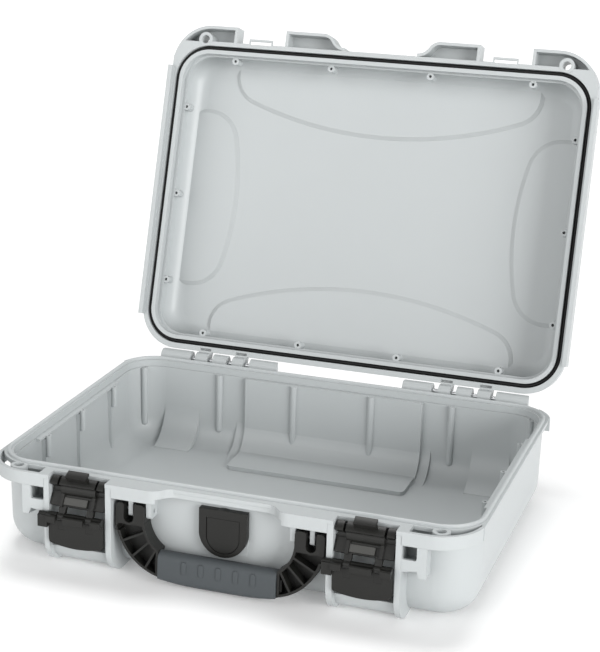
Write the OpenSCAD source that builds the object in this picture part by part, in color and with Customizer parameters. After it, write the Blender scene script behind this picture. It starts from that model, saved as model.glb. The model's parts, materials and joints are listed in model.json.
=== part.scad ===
// Hard equipment case: deep base, hinged lid, two draw latches, carrying handle and pressure vent.
// Millimetres, +Z up, base standing on z = 0, front towards -Y. The lid is drawn open.

/* [Case] */
// Half length of the sealing ridge, left to right
ridge_x = 215; // [180:1:260]
// Half width of the sealing ridge, front to back
ridge_y = 152.85; // [120:0.05:190]
// Height of the rim shelf above the ground
rim_z = 86.2; // [70:0.1:140]
// Height of the lid above the top of the sealing ridge
lid_h = 42; // [30:1:80]
// Thickness of the base floor
floor_t = 3.2; // [2:0.1:6]
// Thickness of the lid top
lid_t = 4; // [3:0.1:8]
// Lid angle as drawn, from closed
lid_open = 107.6; // [0:0.1:107.6]

/* [Shell shape] */
// Distance of the shell wall outside its corner centres
wall_u = 33.8; // [30:0.1:40]
// Radius where the wall turns under the floor
belly_r = 26; // [18:0.5:30]
// Lean of the walls, sideways per unit of height
draft = 0.021; // [0:0.001:0.05]
// Radius of the lid's top edge
lid_r = 20; // [12:0.5:28]
// Thickness of the bands and ear walls
band_t = 3; // [2:0.1:5]
// Lower edge of the front band
band_z = 74.3; // [60:0.1:80]

/* [Latches] */
// Distance of each latch from the middle
latch_x = 127.8; // [110:0.1:140]
// Half width of a latch pocket
pocket_w = 26.4; // [24:0.1:30]
// Angle that each claw hangs open, as drawn
claw_rest = 12; // [0:1:12]

/* [Handle] */
// Half length of the soft grip where it meets the arms
grip_x = 53; // [45:0.5:60]
// Radius of the handle pins
handle_pin_r = 1.9; // [1.5:0.05:2.5]

/* [Colours] */
// Outside of the shells
shell_col = [0.78, 0.80, 0.81];
// Latches, handle frame and vent
black_col = [0.17, 0.17, 0.16];
// Soft grip
grip_col = [0.41, 0.44, 0.46];

/* [Hidden] */
$fn = 64;

e = 0.01;
top_z = rim_z + 2.8;      // top of the sealing ridge
lid_z = rim_z + 0.4;      // lower face of the closed lid's flange
lid_top = top_z + lid_h;  // outside of the closed lid
rc_x = ridge_x - 33.5;    // corner centres of the ridge
rc_y = ridge_y - 33.5;
bc_x = rc_x - 1;          // corner centres of the shell walls
bc_y = rc_y - 2.35;
ic_x = rc_x - 1.5;        // corner centres of the inside
ic_y = rc_y - 1.85;
side_x = ridge_x + 4;     // rim edge at the sides
back_y = ridge_y + 7.15;  // rim edge at the back
flange_y = -ridge_y - 8.65;
front_y = -ridge_y - 20.15;
mid_y = -ridge_y - 8.15;
plate_z = rim_z - 3.6;    // underside of the rim plate
seam_z = top_z - 9.5;     // the tub ends here and the rim frame starts
eye = [188.2, -160];      // padlock eye of the base
lid_eye = [188.4, -161.2];

hinge_y = ridge_y + 16.15;
hinge_z = top_z - 4.2;
hinge_r = 7.5;
hinge_pin_r = 2.5;

pin_b = [-ridge_y - 9.15, top_z - 17];    // claw pivot
pin_a = [-ridge_y - 22.65, top_z - 38];   // lever pivot, claw hanging open
pivot = [-ridge_y - 4.85, top_z - 27.2];  // handle pivot
wall_front = -(bc_y + wall_u + draft * 46);
pad_y = -ridge_y + 0.85;                  // flat seat of the vent

// ---------- helpers ----------
module along_x(x0, x1) translate([x0, 0, 0]) rotate([90, 0, 90]) linear_extrude(x1 - x0) children();
module along_y(y0, y1) translate([0, y1, 0]) rotate([90, 0, 0]) linear_extrude(y1 - y0) children();
module rod(x0, x1, p, r) translate([x0, p[0], p[1]]) rotate([0, 90, 0]) cylinder(r = r, h = x1 - x0);
module both() for (m = [0, 1]) mirror([m, 0, 0]) children();

// The child profile (across = distance out from the corner centres, up = height) taken round a rounded oblong
module swept(cx, cy) {
  for (s = [[0, cx, cy], [180, cx, cy], [90, cy, cx], [270, cy, cx]])
    rotate([0, 0, s[0]]) translate([s[1], s[2], 0]) rotate([90, 0, 0]) linear_extrude(2 * s[2]) children();
  for (c = [[cx, cy, 0], [-cx, cy, 90], [-cx, -cy, 180], [cx, -cy, 270]])
    translate([c[0], c[1], 0]) rotate([0, 0, c[2]]) rotate_extrude(angle = 90) children();
}
module block(cx, cy, z0, z1) translate([-cx, -cy, z0]) cube([2 * cx, 2 * cy, z1 - z0]);

// Wall profile with a rounded turn at the bottom
module tub(u, r, z0, z1) {
  translate([0, z0]) square([u - r, z1 - z0]);
  intersection() {
    translate([u - r, z0 + r]) circle(r = r);
    translate([u - r, z0]) square([r + 1, r]);
  }
  polygon([[u - r, z0 + r], [u, z0 + r], [u + draft * (z1 - z0 - r), z1], [u - r, z1]]);
}
module oblong(x0, x1, y0, y1, r) {
  translate([x0 + r, y0]) square([x1 - x0 - 2 * r, y1 - y0]);
  translate([x0, y0 + r]) square([x1 - x0, y1 - y0 - 2 * r]);
  for (x = [x0 + r, x1 - r]) for (y = [y0 + r, y1 - r]) translate([x, y]) circle(r = r);
}
// Plan of a front ear: straight front, rounded corner at the side and an S-shaped run back to the middle
function s_r(dx, dy) = (dx * dx + dy * dy) / (4 * dy);
module ear(f, g, xs, xe, sx, d) {
  r = s_r(xs - xe, g - f);
  k = (1 - d / r) * (r - (g - f) / 2);
  translate([xs, f + d]) square([sx - 40 - xs, 33 - d]);
  translate([sx - 40, f + 40]) circle(r = 40 - d);
  translate([sx - 90, f + 33]) square([90 - d, 40]);
  translate([sx - 90, f + 30]) square([50, 20]);
  translate([xs, f + r]) circle(r = r - d);
  difference() {
    translate([xe, f + r - k]) square([xs - xe + e, 30]);
    translate([xe, g - r]) circle(r = r + d);
  }
}
module base_ear(d) ear(front_y, mid_y, 62, 40, side_x, d);
module lid_ear(d) ear(-ridge_y - 22.65, -ridge_y - 9.65, 61, 38, ridge_x + 6.5, d);
// Sector between two angles forward of upright
module fan(r, a0, a1) intersection() {
  circle(r = r);
  polygon([[0, 0], for (a = [a0, (a0 + a1) / 2, a1]) 2 * r * [-sin(a), cos(a)]]);
}

// ---------- base ----------
module base_plan() {
  oblong(-side_x, side_x, flange_y, back_y, 38);
  for (m = [0, 1]) mirror([m, 0]) difference() {
    base_ear(0);
    translate([latch_x - pocket_w, -250]) square([2 * pocket_w, 250 + flange_y]);
  }
}
module corner_pocket() difference() {
  intersection() {
    base_ear(band_t);
    translate([164, -200]) square([60, 82]);
  }
  translate([100, flange_y + 4.2]) square([rc_x - 100, 60]);
  translate([rc_x, -rc_y]) circle(r = 37.8);
  translate([rc_x, -rc_y]) square([37.8, 60]);
  translate([188.2, -160]) circle(r = 7.5);
}
module band_wall() intersection() {
  difference() {
    base_ear(0);
    base_ear(band_t);
    translate([latch_x - pocket_w, -250]) square([2 * pocket_w, 120]);
  }
  translate([38, -200]) square([200, 70]);
}
// Short lip that hangs from the rim's rear corners
module rear_corner() intersection() {
  difference() {
    oblong(-side_x - 2, side_x + 2, flange_y, back_y, 38);
    oblong(-side_x + 2, side_x - 2, flange_y, back_y - 3, 36);
  }
  translate([205, 131.5]) square([30, 40]);
}
module latch_rib(x0, x1) along_x(x0, x1) {
  translate([front_y + 0.5, belly_r]) square([belly_r, rim_z - belly_r]);
  translate([front_y + 0.5 + belly_r, 0]) square([20, rim_z]);
  intersection() {
    translate([front_y + 0.5 + belly_r, belly_r]) circle(r = belly_r);
    translate([front_y, 0]) square([belly_r + 0.5, belly_r]);
  }
}
module window_plate() {
  along_y(front_y + 1, front_y + 4) difference() {
    union() {
      translate([158, top_z - 32]) square([22, 19.5]);
      polygon([[158, top_z - 38.5], [172, top_z - 36], [174, top_z - 42], [180, top_z - 42], [180, top_z - 30], [158, top_z - 30]]);
    }
    oblong(159.5, 171.7, top_z - 27, top_z - 13, 1.5);
  }
  along_x(174.5, 178.5) polygon([[front_y + 2, top_z - 42], [front_y + 2, top_z - 13], [-149, top_z - 13], [-149, top_z - 46]]);
  along_x(158, 178.5) translate([front_y + 3, top_z - 36]) square([20, 3]);
}
module bracket(x0, x1, y0, z0) along_x(x0, x1) {
  translate([y0 + 3, z0]) square([-146 - y0 - 3, rim_z - z0 - 2]);
  translate([y0, z0 + 3]) square([10, rim_z - z0 - 5]);
  translate([y0 + 3, z0 + 3]) circle(r = 3);
}
module hinge_lug(x0, x1) intersection() {
  along_x(x0, x1) {
    translate([hinge_y, hinge_z]) circle(r = hinge_r);
    polygon([[150, hinge_z - 32], [153, hinge_z - 30], [hinge_y + 6.1, hinge_z - 4.4], [hinge_y, hinge_z],
      [hinge_y - 7, hinge_z + 1.3], [150, hinge_z + 1.3]]);
  }
  translate([0, 0, hinge_z - 40]) linear_extrude(60)
    polygon([[60, 140], [198, 140], [195, 158], [188, 180], [70, 180], [63, 158]]);
}
module screw_post(x, y, z0, z1, r) translate([x, y, z0]) cylinder(r = r, h = z1 - z0);
module wall_rib(x, y, z0, z1, r) {
  translate([x, y, z0]) cylinder(r = r, h = z1 - z0);
  translate([x, y, z0]) sphere(r = r);
}
// Concave fill where a wall meets the floor, thicker than the plain turn
module heel(x0, x1, y, r) along_x(x0, x1) difference() {
  intersection() {
    translate([y - r, floor_t - 1]) square([r + 4, r + 1]);
    translate([bc_y, 1]) tub(wall_u - 1, belly_r - 1, 0, 60);
  }
  translate([y - r, floor_t + r]) circle(r = r);
}
module base_inside() {
  iy = ic_y + 29.6;
  both() {
    // screw posts, ledge and ribs on the side walls
    for (y = [-72, 0, 72]) {
      screw_post(204, y, top_z - 30, seam_z, 2.8);
      translate([206.2, y - 2, 14]) cube([4, 4, 62]);
    }
    for (y = [-139, 139]) screw_post(200, y, top_z - 30, seam_z, 2.8);
    translate([206, -85, top_z - 11.5]) cube([6, 173, 2]);
    for (s = [-1, 1]) {
      wall_rib(121, s * (iy - 0.4), 20.5, top_z - 10, 3.2);
      wall_rib(200, s * (ic_y + 20.5), 20.5, top_z - 10, 3.4);
    }
    wall_rib(40.3, iy - 4.4, 18, top_z - 10, 3.2);
    wall_rib(40.3, -iy + 0.4, 20.5, top_z - 10, 3.2);
    heel(143, 181, iy, 36);
    mirror([0, 1, 0]) heel(143, 181, iy, 36);
    heel(91, 102, iy, 30);
  }
  // the middle of the back wall stands in, with a step on the floor
  translate([-92, iy - 4, 19]) cube([184, 6, seam_z - 19]);
  heel(-92, 92, iy - 3.5, 30);
  translate([0, 0, floor_t - 1]) linear_extrude(5) oblong(-91, 91, 88, 133, 5);
}
module outer(z1) {
  swept(bc_x, bc_y) tub(wall_u, belly_r, 0, z1);
  block(bc_x, bc_y, 0, z1);
}
// Wall, floor and everything inside, up to the ledge below the rim
module base_shell() color(shell_col) difference() {
  union() {
    difference() {
      union() {
        outer(seam_z);
        translate([-20.5, pad_y, 31]) cube([41, 4, 41]);
      }
      swept(ic_x, ic_y) tub(29.4, 22.8, floor_t, top_z + 5);
      block(ic_x, ic_y, floor_t, top_z + 5);
    }
    base_inside();
  }
  both() {
    for (y = [-72, 0, 72]) screw_post(204, y, top_z - 20, top_z, 1.3);
    for (y = [-139, 139]) screw_post(200, y, top_z - 20, top_z, 1.3);
  }
  translate([0, pad_y - 2, 51]) rotate([-90, 0, 0]) cylinder(r = 7.2, h = 12);
  shoulder_room();
}
// Room behind the handle's shoulders
module shoulder_room() both() translate([66.8, -154, pivot[1] - 7]) cube([29.2, 154 + pivot[0] + 7.8, 21]);
// Rim frame: sealing ridge, ears, bands, handle brackets and hinge lugs
module base_rim() color(shell_col) difference() {
  union() {
    swept(bc_x, bc_y) translate([20, seam_z]) square([wall_u + draft * (seam_z - belly_r) - 20, plate_z - seam_z + 1]);
    translate([0, 0, plate_z]) linear_extrude(rim_z - plate_z) difference() {
      base_plan();
      for (m = [0, 1]) mirror([m, 0]) corner_pocket();
    }
    both() {
      translate([0, 0, band_z]) linear_extrude(plate_z - band_z) intersection() {
        band_wall();
        translate([56, -200]) square([200, 100]);
      }
      translate([0, 0, band_z + 4]) linear_extrude(plate_z - band_z - 4) band_wall();
      translate([0, 0, band_z - 1]) linear_extrude(rim_z - band_z + 1) rear_corner();
      translate([0, 0, band_z]) linear_extrude(2) corner_pocket();
      bracket(62.2, 66.8, -165.2, top_z - 32.5);
      bracket(79.2, 83.2, -164.5, top_z - 32.4);
      hinge_lug(66, 95.5);
      hinge_lug(120.5, 135.5);
      hinge_lug(160, 192);
    }
    translate([-41, mid_y, band_z + 4]) cube([82, band_t, 6]);
    swept(rc_x, rc_y) {
      translate([33.5, top_z - 1.6]) circle(r = 1.6);
      translate([31.9, rim_z - 1]) square([3.2, 2.2]);
    }
  }
  translate([0, 0, seam_z - 1]) linear_extrude(20) oblong(-ic_x - 31.6, ic_x + 31.6, -ic_y - 31.4, ic_y + 31.4, 31);
  outer(seam_z);
  both() {
    translate([eye[0], eye[1], band_z - 5]) cylinder(r = 7.5, h = rim_z - band_z + 5);
    for (x = [latch_x - pocket_w - 5.4, latch_x + pocket_w])
      translate([x, -200, -1]) cube([x < latch_x ? 5.4 : 4.8, 60, plate_z + 1]);
    rod(60, 84, pivot, handle_pin_r);
    rod(65, 188, [hinge_y, hinge_z], hinge_pin_r);
  }
  shoulder_room();
}
module base_eye() difference() {
  translate([eye[0], eye[1], band_z]) cylinder(r = 7.5, h = rim_z - band_z);
  translate([eye[0], eye[1], band_z - 5]) cylinder(r = 4.25, h = 30);
}
// Two ribs beside the latch, the foot between them and the strap window
module latch_housing() difference() {
  union() {
    latch_rib(latch_x - pocket_w - 5.4, latch_x - pocket_w);
    latch_rib(latch_x + pocket_w, latch_x + pocket_w + 4.8);
    along_x(latch_x - pocket_w - 1, latch_x + pocket_w + 1) intersection() {
      union() {
        translate([front_y + 6 + belly_r, belly_r]) circle(r = belly_r);
        translate([front_y + 6 + belly_r, 0]) square([20, belly_r]);
      }
      translate([front_y, 0]) square([50, 19]);
    }
    difference() {
      window_plate();
      translate([latch_x + pocket_w + 4.8, -200, band_z]) cube([40, 60, 20]);
    }
  }
  translate([0, -200, plate_z]) cube([200, 60, 10]);
  outer(seam_z);
  translate([0, 0, seam_z]) linear_extrude(10) translate([0, -bc_y - wall_u - draft * (seam_z - belly_r)]) square([180, 60]);
  rod(latch_x - pocket_w - 3, latch_x + pocket_w + 3, pin_b, 2);
}
module base_eye_left() color(shell_col) mirror([1, 0, 0]) base_eye();
module base_eye_right() color(shell_col) base_eye();
module latch_housing_left() color(shell_col) mirror([1, 0, 0]) latch_housing();
module latch_housing_right() color(shell_col) latch_housing();

// ---------- lid, modelled closed ----------
module opened(a) translate([0, hinge_y, hinge_z]) rotate([-a, 0, 0]) translate([0, -hinge_y, -hinge_z]) children();
module lid_tub(u, r, z0, z1) translate([0, z1]) mirror([0, 1]) tub(u, r, 0, z1 - z0);
module lid_plan() {
  oblong(-ridge_x - 6.5, ridge_x + 6.5, -ridge_y - 6.65, ridge_y + 7.65, 40);
}
module end_panel(x, y0, y1, rb, rc) {
  // long raised panel: shallow arc towards the middle, running smoothly into rounded ends
  yc = y0 + rb - sqrt((rb - rc) * (rb - rc) - (x - rc) * (x - rc));
  xt = (x - rc) * rb / (rb - rc);
  intersection() {
    translate([0, y0 + rb]) circle(r = rb, $fn = 200);
    translate([-xt, y0 - 1]) square([2 * xt, y1 - y0 + 1]);
  }
  for (s = [-1, 1]) translate([s * (x - rc), yc]) {
    intersection() {
      circle(r = rc);
      translate([-rc, -rc]) square([2 * rc, rc]);
    }
    translate([-rc, -0.5]) square([2 * rc, y1 - yc + 0.5]);
  }
}
module panels(g) {
  for (m = [0, 1]) mirror([0, m]) end_panel(160 - g, 81 + g, 141, 406 - g, 28 - g);
  for (m = [0, 1]) mirror([m, 0]) rotate([0, 0, -90]) mirror([0, 1]) rotate([0, 0, 180])
    end_panel(90 - g, 150 + g, 203, 273 - g, 32 - g);
}
module lid_boss_holes(z0, z1, r) {
  for (x = [-156, -52, 52, 156]) for (y = [-141.7, 141.7]) screw_post(x, y, z0, z1, r);
  for (x = [-203.9, 203.9]) for (y = [-90.8, 0, 90.8]) screw_post(x, y, z0, z1, r);
}
module lid_box_plan(d) difference() {
  lid_ear(d);
  translate([latch_x - pocket_w - d, -250]) square([2 * pocket_w + 2 * d, 250 - ridge_y - 6.65]);
}
module lid_lug(x0, x1) along_x(x0, x1) {
  translate([hinge_y, hinge_z]) circle(r = hinge_r);
  polygon([[hinge_y - 12, lid_z], [hinge_y - 6.9, lid_z], [hinge_y, hinge_z], [hinge_y + 4, hinge_z + 6.3],
    [hinge_y - 8, lid_z + 8], [hinge_y - 12, lid_z + 8]]);
}
module lid_closed() difference() {
  union() {
    difference() {
      union() {
        swept(bc_x, bc_y) lid_tub(wall_u, lid_r, lid_z, lid_top);
        block(bc_x, bc_y, lid_z, lid_top);
        translate([0, 0, lid_z]) linear_extrude(8.4) lid_plan();
        both() difference() {
          translate([0, 0, lid_z]) linear_extrude(19) lid_box_plan(0);
          difference() {
            translate([0, 0, lid_z - 1]) linear_extrude(17) lid_box_plan(band_t);
            translate([0, -ridge_y - 5.65, lid_z - 2]) cube([400, 100, 40]);
            translate([0, 0, lid_z - 2]) linear_extrude(40) {
              translate([rc_x, -rc_y]) circle(r = 38.4);
              translate([rc_x, -rc_y]) square([38.4, 60]);
              translate([188.4, -161.2]) circle(r = 7.5);
            }
          }
        }
        both() {
          translate([ridge_x + 4.5, -131, lid_z - 6.6]) cube([4.5, 260, 14]);
          translate([latch_x - 12.5, -164.5, lid_z]) cube([25, 9, 2.4]);
          lid_lug(102.3, 114.5);
          lid_lug(141.5, 154.5);
        }
      }
      swept(ic_x - 0.5, ic_y) lid_tub(29.4, 16, lid_z - 2, lid_top - lid_t);
      block(ic_x - 0.5, ic_y, lid_z - 2, lid_top - lid_t);
      translate([0, 0, lid_top - 1.2]) linear_extrude(3) panels(6);
    }
    // lip inside the seal groove, ledge and screw posts
    swept(rc_x, rc_y) translate([27.2, lid_z]) square([3.8, 7.2]);
    translate([0, 0, top_z + 6]) linear_extrude(2) difference() {
      oblong(-211, 211, -148.5, 148.5, 30);
      oblong(-206, 206, -144.6, 144.6, 27);
    }
    lid_boss_holes(top_z + 6, top_z + 18, 3.75);
    for (k = [0:3]) translate([0, 0, lid_top - lid_t - 2 + 0.5 * k]) linear_extrude(k < 3 ? 0.5 : 0.7) panels(-1.1 * k);
  }
  swept(rc_x, rc_y) translate([31.4, lid_z - 1]) square([4.2, 7.6]);
  lid_boss_holes(top_z, top_z + 15, 1.4);
  both() {
    screw_post(lid_eye[0], lid_eye[1], lid_z - 5, lid_z + 30, 7.5);
    translate([latch_x - 11.5, -162.4, lid_z - 1]) cube([23, 3.5, 5]);
    for (x = [108.2, 147.4]) translate([x - 6, 157, lid_z - 1]) cube([12, 2.4, 6]);
    rod(100, 117, [hinge_y, hinge_z], hinge_pin_r + 0.06);
    rod(139, 157, [hinge_y, hinge_z], hinge_pin_r + 0.06);
  }
}
module lid_shell() color(shell_col) opened(lid_open) lid_closed();
module lid_eye_ring() difference() {
  screw_post(lid_eye[0], lid_eye[1], lid_z, lid_z + 19, 7.5);
  screw_post(lid_eye[0], lid_eye[1], lid_z - 5, lid_z + 30, 4.25);
  translate([rc_x, -rc_y, 0]) rotate([0, 0, -90]) rotate_extrude(angle = 90) translate([31.4, lid_z - 1]) square([4.2, 7.6]);
}
module lid_eye_left() color(shell_col) opened(lid_open) mirror([1, 0, 0]) lid_eye_ring();
module lid_eye_right() color(shell_col) opened(lid_open) lid_eye_ring();
module lid_gasket() color([0.06, 0.06, 0.06]) opened(lid_open) swept(rc_x, rc_y) {
  translate([33.5, top_z + 2.3]) circle(r = 1.9);
  translate([31.6, top_z + 2.3]) square([3.8, lid_z + 6.6 - top_z - 2.3]);
}

// ---------- hinge pins ----------
module hinge_pin() rod(67, 187, [hinge_y, hinge_z], hinge_pin_r);
module hinge_pin_left() color([0.6, 0.61, 0.62]) mirror([1, 0, 0]) hinge_pin();
module hinge_pin_right() color([0.6, 0.61, 0.62]) hinge_pin();

// ---------- latches, drawn round x = 0 with the claw hanging open ----------
arm_dir = (pin_a - pin_b) / norm(pin_a - pin_b);
arm_tilt = atan2(arm_dir[0], -arm_dir[1]);
arm_len = norm(pin_a - pin_b);
// Children drawn with the arm running down from the claw pivot and its face towards -across
module on_arm() translate(pin_b) rotate([0, 0, arm_tilt]) children();
module claw() difference() {
  union() {
    // hook over the lid's bar, and the arm that carries it
    along_x(-9.5, 9.5) translate(pin_b) {
      difference() {
        fan(20.05, 4 + claw_rest, 28 + claw_rest);
        circle(r = 17.45);
      }
      fan(20.05, 12 + claw_rest, 28 + claw_rest);
    }
    // broad body that fills the pocket
    along_x(-24.8, 24.8) {
      translate(pin_b) {
        circle(r = 4.4);
        fan(12.8, claw_rest + 2, claw_rest + 45);
      }
      on_arm() translate([-2.2, 9 - arm_len]) square([4.4, arm_len - 9]);
    }
    // rounded hump, with rails beside the lock
    along_x(-16, 16) translate(pin_b + [-2, 1]) circle(r = 6);
    for (x = [-16, 13]) along_x(x, x + 3) on_arm() translate([-4.3, -17]) square([3, 15]);
    // legs down to the lever pin
    for (x = [-16, 10]) along_x(x, x + 6) {
      on_arm() translate([-2.2, -arm_len]) square([4.4, arm_len]);
      translate(pin_a) circle(r = 3.3);
    }
  }
  rod(-30, 30, pin_b, 2.06);
  rod(-30, 30, pin_a, 1.5);
  // sideways dovetail for the lock
  along_x(-12.9, 12.9) on_arm() polygon([[-2.3, -14.78], [-1, -15.58], [-1, -7.42], [-2.3, -8.22]]);
  for (x = [-18.4, 16.4]) along_x(x, x + 2) translate(pin_b) fan(15, claw_rest - 4, claw_rest + 47);
}
module lever() difference() {
  union() {
    along_x(-25.4, 25.4) translate(pin_a) {
      circle(r = 3.5);
      translate([-0.2, -28.5]) square([3.8, 28.5]);
      // thumb ledge along the top
      polygon([[0, 2.6], [-5.6, 2.2], [-6.6, 1.2], [-6.6, -4.4], [-5.6, -3.3], [-3.9, -1], [0, -1]]);
    }
    // wing that reaches in front of the rib
    along_x(-33.8, -25) translate(pin_a) {
      circle(r = 2.8);
      translate([-4.4, -10]) square([6.4, 11]);
    }
  }
  // gaps for the claw's two legs
  for (x = [-16.4, 9.6]) along_x(x, x + 6.8) translate(pin_a) {
    circle(r = 3.85);
    translate([-12, -12]) square([12, 20]);
  }
  rod(-21, 21, pin_a, 1.56);
  // bowed lower edge with rounded corners
  along_y(-200, -165) difference() {
    translate([-26, top_z - 80]) square([52, 27]);
    intersection() {
      translate([0, top_z - 66.4 + 90]) circle(r = 90, $fn = 200);
      oblong(-25.4, 25.4, top_z - 68, top_z - 20, 9);
    }
  }
}
module lock() along_x(-12.7, 8.7) on_arm() {
  polygon([[-2.2, -14.7], [-1.1, -15.4], [-1.1, -7.6], [-2.2, -8.3]]);
  translate([-3.2, -14.7]) square([1.1, 6.4]);
}
module latch_claw_left() color(black_col) translate([-latch_x, 0, 0]) claw();
module latch_lever_left() color(black_col) translate([-latch_x, 0, 0]) lever();
module latch_lock_left() color([0.3, 0.3, 0.29]) translate([-latch_x, 0, 0]) lock();
module claw_pin_left() color([0.6, 0.61, 0.62]) rod(-latch_x - 29, -latch_x + 29, pin_b, 2);
module lever_pin_left() color([0.6, 0.61, 0.62]) rod(-latch_x - 20.5, -latch_x + 20.5, pin_a, 1.5);
module latch_claw_right() color(black_col) translate([latch_x, 0, 0]) claw();
module latch_lever_right() color(black_col) translate([latch_x, 0, 0]) lever();
module latch_lock_right() color([0.3, 0.3, 0.29]) translate([latch_x, 0, 0]) lock();
module claw_pin_right() color([0.6, 0.61, 0.62]) rod(latch_x - 29, latch_x + 29, pin_b, 2);
module lever_pin_right() color([0.6, 0.61, 0.62]) rod(latch_x - 20.5, latch_x + 20.5, pin_a, 1.5);

// ---------- handle, hanging ----------
arm_top = pivot[1] + 7.2;
arm_c = [41.5, top_z - 31];
// The handle leans a little forward and rests against the vent
module hung() translate([0, pivot[0], pivot[1]]) rotate([-3.5, 0, 0]) translate([0, -pivot[0], -pivot[1]]) children();
module arm_plan(d) difference() {
  union() {
    intersection() {
      translate(arm_c) circle(r = 51.8 - d);
      translate([38, top_z - 90]) square([60, 58.2]);
    }
    oblong(67.2 + d, 78, top_z - 45, arm_top, 3.4);
    oblong(85, 93.3 - d, top_z - 45, arm_top, 3.4);
    translate([67.2 + d, top_z - 45]) square([26.1 - 2 * d, 13]);
  }
  translate([36.2, top_z - 32.4]) circle(r = 31 + d);
  translate([30, 0]) square([grip_x + 0.3 + d - 30, top_z - 32.4]);
  translate([38, top_z - 36]) square([29.2 + d, 16]);
  translate([81.5, top_z - 32.5]) circle(r = 4.5 + d);
  translate([77 - d, top_z - 32.5]) square([9 + 2 * d, 40]);
}
module handle_arm() difference() {
  along_y(-168.5, -154) arm_plan(0);
  // open cells in the front face, with cross ribs left standing
  along_y(-170, -158.5) difference() {
    arm_plan(2.2);
    for (a = [-8, -27, -45, -62]) translate(arm_c) rotate([0, 0, a]) translate([10, -1]) square([50, 2]);
    translate([60, top_z - 38.5]) square([40, 40]);
  }
  // rounded shoulders, so that the arm turns clear of the wall
  along_x(60, 100) difference() {
    translate([-175, pivot[1]]) square([40, 20]);
    translate([-175, pivot[1] - 1]) square([175 + pivot[0], 8.2]);
    translate(pivot) circle(r = 7.2);
  }
  rod(60, 100, pivot, handle_pin_r + 0.05);
}
module grip_bar() both() intersection() {
  along_x(0, grip_x) oblong(-170.2, -156.2, top_z - 87, top_z - 58.5, 6.5);
  along_y(-180, -140) translate([0, top_z - 87 + 291]) circle(r = 291, $fn = 300);
}
module core_bar() translate([-57, -166, top_z - 77]) cube([114, 6, 11]);
module handle_frame() color(black_col) hung() {
  both() handle_arm();
  core_bar();
}
module handle_grip() color(grip_col) hung() difference() {
  union() {
    grip_bar();
    for (i = [-2:2]) along_y(-170.9, -165) translate([i * 15.5 + 2, top_z - 69]) {
      translate([-2.2, -3.5]) square([4.4, 7]);
      for (k = [-3.5, 3.5]) translate([0, k]) circle(r = 2.2);
    }
  }
  core_bar();
}
module handle_pin() rod(62.4, 93.5, pivot, handle_pin_r);
module handle_pin_left() color([0.6, 0.61, 0.62]) mirror([1, 0, 0]) handle_pin();
module handle_pin_right() color([0.6, 0.61, 0.62]) handle_pin();

// ---------- pressure vent on the front ----------
module shield(x, z0, z1) {
  translate([-x, z0 + x]) square([2 * x, z1 - z0 - x]);
  translate([0, z0 + x]) circle(r = x);
}
module vent_bezel() color(black_col) difference() {
  union() {
    along_y(pad_y - 6, pad_y) shield(21.5, top_z - 59.5, top_z - 17);
    translate([0, pad_y, 51]) rotate([-90, 0, 0]) cylinder(r = 6.9, h = 12);
  }
  along_y(pad_y - 7, pad_y - 3.6) shield(15, top_z - 56.4, top_z - 24.6);
  translate([0, pad_y - 4.4, 51]) rotate([-90, 0, 0]) cylinder(r = 5.2, h = 2);
  translate([0, pad_y - 5, 51]) rotate([-90, 0, 0]) cylinder(r = 3.2, h = 20);
  // seat of the seal ring
  translate([0, pad_y - 1.5, 51]) rotate([-90, 0, 0]) difference() {
    cylinder(r = 10.2, h = 3);
    cylinder(r = 7.8, h = 3);
  }
}
module vent_cover() color(black_col) along_y(pad_y - 5.4, pad_y - 3.6) shield(14.6, top_z - 56, top_z - 25);
module vent_membrane() color([0.85, 0.85, 0.83]) translate([0, pad_y - 2.8, 51]) rotate([-90, 0, 0]) cylinder(r = 5.1, h = 0.4);
module vent_seal() color([0.06, 0.06, 0.06]) translate([0, pad_y - 0.75, 51]) rotate([-90, 0, 0])
  rotate_extrude() translate([9, 0]) circle(r = 0.75);
module vent_nut() color(black_col) translate([0, -ic_y - 29.6, 51]) rotate([-90, 0, 0]) difference() {
  cylinder(r = 12, h = 4, $fn = 6);
  translate([0, 0, -1]) cylinder(r = 6.9, h = 8);
}

base_shell();
base_rim();
base_eye_left();
base_eye_right();
latch_housing_left();
latch_housing_right();
lid_shell();
lid_eye_left();
lid_eye_right();
lid_gasket();
hinge_pin_left();
hinge_pin_right();
latch_claw_left();
latch_lever_left();
latch_lock_left();
claw_pin_left();
lever_pin_left();
latch_claw_right();
latch_lever_right();
latch_lock_right();
claw_pin_right();
lever_pin_right();
handle_frame();
handle_grip();
handle_pin_left();
handle_pin_right();
vent_bezel();
vent_cover();
vent_membrane();
vent_seal();
vent_nut();
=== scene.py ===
"""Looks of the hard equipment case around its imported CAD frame. Metres, +Z up, front towards -Y."""
import json
import math

import bpy
from mathutils import Matrix, Vector

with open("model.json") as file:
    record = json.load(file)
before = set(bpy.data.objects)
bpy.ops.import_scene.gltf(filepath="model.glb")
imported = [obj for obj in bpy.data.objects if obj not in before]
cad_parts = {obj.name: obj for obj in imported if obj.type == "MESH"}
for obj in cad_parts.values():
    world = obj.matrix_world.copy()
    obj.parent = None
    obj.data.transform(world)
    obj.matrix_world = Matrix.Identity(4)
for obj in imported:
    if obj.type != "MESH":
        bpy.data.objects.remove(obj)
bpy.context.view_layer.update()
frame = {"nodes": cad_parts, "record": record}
MM = 0.001
WHITE = (1, 1, 1, 1)


# ---------- materials ----------
SLOW_SCALE = 9.0  # broad tone changes over a moulding
GRAIN_DEPTH = 0.2 * MM
ROUGH_BELOW, ROUGH_ABOVE = 0.06, 0.08  # how far the grain moves the roughness to either side
EDGE_SAMPLES = 4
STEEL_COLOUR = (0.55, 0.56, 0.57, 1)
SCRATCH_SCALE = 700.0
STEEL_ROUGH = (0.22, 0.38)


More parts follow.
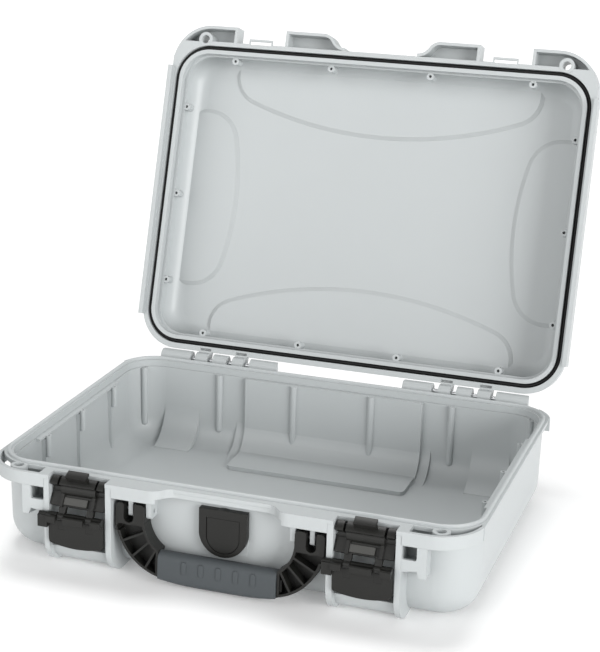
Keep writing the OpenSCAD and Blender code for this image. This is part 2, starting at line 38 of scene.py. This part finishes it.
def new_material(name):
    mat = bpy.data.materials.new(name)
    mat.use_nodes = True
    nodes, links = mat.node_tree.nodes, mat.node_tree.links
    shader = nodes["Principled BSDF"]
    return mat, nodes, links, shader


def add(nodes, kind, **values):
    """New shader node; each value is set on the input of that name, or else on the node itself."""
    made = nodes.new(kind)
    for key, value in values.items():
        if key in made.inputs:
            made.inputs[key].default_value = value
        else:
            setattr(made, key, value)
    return made


def rough_from(noise, low, high, nodes, links, shader):
    """Lets a noise texture move the roughness between low and high."""
    spread = add(nodes, "ShaderNodeMapRange")
    spread.inputs["To Min"].default_value = low
    spread.inputs["To Max"].default_value = high
    links.new(noise.outputs["Fac"], spread.inputs["Value"])
    links.new(spread.outputs["Result"], shader.inputs["Roughness"])


def moulded(name, colour, tone, rough, grain, bump, soft_edge, specular=0.5):
    """Moulded plastic: slow tone changes, fine spark-eroded grain and slightly rounded edges."""
    mat, nodes, links, shader = new_material(name)
    place = add(nodes, "ShaderNodeTexCoord")
    slow = add(nodes, "ShaderNodeTexNoise", Scale=SLOW_SCALE, Detail=3.0)
    links.new(place.outputs["Object"], slow.inputs["Vector"])
    ramp = add(nodes, "ShaderNodeMix", data_type="RGBA")
    ramp.inputs["A"].default_value = (*[c * (1 - tone) for c in colour], 1)
    ramp.inputs["B"].default_value = (*[min(1, c * (1 + tone)) for c in colour], 1)
    links.new(slow.outputs["Fac"], ramp.inputs["Factor"])
    links.new(ramp.outputs["Result"], shader.inputs["Base Color"])
    fine = add(nodes, "ShaderNodeTexNoise", Scale=grain, Detail=2.0, Roughness=0.6)
    links.new(place.outputs["Object"], fine.inputs["Vector"])
    rough_from(fine, rough - ROUGH_BELOW, rough + ROUGH_ABOVE, nodes, links, shader)
    relief = add(nodes, "ShaderNodeBump", Strength=bump, Distance=GRAIN_DEPTH)
    links.new(fine.outputs["Fac"], relief.inputs["Height"])
    if soft_edge:
        edge = add(nodes, "ShaderNodeBevel", samples=EDGE_SAMPLES, Radius=soft_edge)
        links.new(edge.outputs["Normal"], relief.inputs["Normal"])
    links.new(relief.outputs["Normal"], shader.inputs["Normal"])
    shader.inputs["Specular IOR Level"].default_value = specular
    return mat


def steel():
    """Bare pins: metal with fine scratches."""
    mat, nodes, links, shader = new_material("pin_steel")
    place = add(nodes, "ShaderNodeTexCoord")
    scratch = add(nodes, "ShaderNodeTexNoise", Scale=SCRATCH_SCALE, Detail=4.0)
    links.new(place.outputs["Object"], scratch.inputs["Vector"])
    rough_from(scratch, *STEEL_ROUGH, nodes, links, shader)
    shader.inputs["Base Color"].default_value = STEEL_COLOUR
    shader.inputs["Metallic"].default_value = 1.0
    return mat


# one finish for each material slot of the record; the numbers are
# tone change, roughness, grain scale, relief, edge radius and specular
FINISH = {
    "shell": moulded("shell_plastic", (0.425, 0.448, 0.452),
                     0.02, 0.40, 2200, 0.25, 0.6 * MM),
    "black": moulded("black_plastic", (0.010, 0.010, 0.0088),
                     0.10, 0.40, 1800, 0.35, 0.5 * MM, 0.32),
    "dark_grey": moulded("dark_plastic", (0.050, 0.050, 0.046),
                         0.10, 0.40, 1500, 0.4, 0.3 * MM, 0.4),
    "grip": moulded("grip_rubber", (0.060, 0.068, 0.073),
                    0.06, 0.60, 1300, 0.5, 0.8 * MM, 0.3),
    "seal": moulded("seal_rubber", (0.006, 0.006, 0.006),
                    0.10, 0.55, 1200, 0.3, None, 0.3),
    "membrane": moulded("membrane", (0.7, 0.7, 0.68),
                        0.02, 0.9, 3000, 0.5, None, 0.2),
    "steel": steel(),
}
for part in frame["record"]["subparts"]:
    node = frame["nodes"][part["node"]]
    node.data.materials.clear()
    node.data.materials.append(FINISH[part["material_slot"]])


# ---------- floor and light ----------
FLOOR_SIDE, FLOOR_FRONT, FLOOR_BACK = 12, -12, 14
FLOOR_PAPER = (0.90, 0.90, 0.90, 1)
FLOOR_GLOW = 0.12  # lifts the floor towards the photograph's white ground
SKY_STRENGTH = 0.38


def sheet(name, corners, material):
    mesh = bpy.data.meshes.new(name)
    mesh.from_pydata(corners, [], [(0, 1, 2, 3)])
    mesh.materials.append(material)
    obj = bpy.data.objects.new(name, mesh)
    bpy.context.scene.collection.objects.link(obj)


def sun(name, towards, strength, spread):
    """Distant soft lamp that lights the floor evenly; towards points from the case to the lamp."""
    data = bpy.data.lights.new(name, "SUN")
    data.energy = strength
    data.angle = math.radians(spread)
    obj = bpy.data.objects.new(name, data)
    obj.rotation_mode = "QUATERNION"
    obj.rotation_quaternion = Vector(towards).to_track_quat("Z", "Y")
    bpy.context.scene.collection.objects.link(obj)


floor_mat, _, _, floor_shader = new_material("floor_paper")
floor_shader.inputs["Base Color"].default_value = FLOOR_PAPER
floor_shader.inputs["Roughness"].default_value = 0.8
floor_shader.inputs["Specular IOR Level"].default_value = 0.1
floor_shader.inputs["Emission Color"].default_value = WHITE
floor_shader.inputs["Emission Strength"].default_value = FLOOR_GLOW
sheet("floor", [(-FLOOR_SIDE, FLOOR_FRONT, 0), (FLOOR_SIDE, FLOOR_FRONT, 0),
                (FLOOR_SIDE, FLOOR_BACK, 0), (-FLOOR_SIDE, FLOOR_BACK, 0)], floor_mat)

sun("key", (1.00, -0.62, 0.22), 3.2, 36)
sun("fill", (-0.50, -0.80, 0.25), 1.5, 60)
sun("back_top", (-0.10, 0.45, 1.00), 1.7, 30)

world = bpy.data.worlds.new("studio")
world.use_nodes = True
world.node_tree.nodes["Background"].inputs["Color"].default_value = WHITE
world.node_tree.nodes["Background"].inputs["Strength"].default_value = SKY_STRENGTH
bpy.context.scene.world = world
bpy.context.scene.view_settings.view_transform = "Standard"


# ---------- camera, fitted to the photograph ----------
AZIMUTH, ELEVATION, ROLL = math.radians(18.59), math.radians(16.98), math.radians(1.40)
CAMERA_PLACE = Vector((0.4799, -1.4224, 0.660))
SENSOR_WIDTH, LENS = 36, 105.0  # mm
SHIFT_X, SHIFT_Y = 0.0173, -0.0227

back = Vector((math.sin(AZIMUTH) * math.cos(ELEVATION),
               -math.cos(AZIMUTH) * math.cos(ELEVATION),
               math.sin(ELEVATION)))
level = Vector((math.cos(AZIMUTH), math.sin(AZIMUTH), 0))
upright = back.cross(level)
right = math.cos(ROLL) * level + math.sin(ROLL) * upright
up = math.cos(ROLL) * upright - math.sin(ROLL) * level
turn = Matrix((right, up, back)).transposed().to_4x4()

camera = bpy.data.objects.new("camera", bpy.data.cameras.new("camera"))
camera.data.sensor_fit = "HORIZONTAL"
camera.data.sensor_width = SENSOR_WIDTH
camera.data.lens = LENS
camera.data.shift_x = SHIFT_X
camera.data.shift_y = SHIFT_Y
camera.matrix_world = Matrix.Translation(CAMERA_PLACE) @ turn
bpy.context.scene.collection.objects.link(camera)
bpy.context.scene.camera = camera
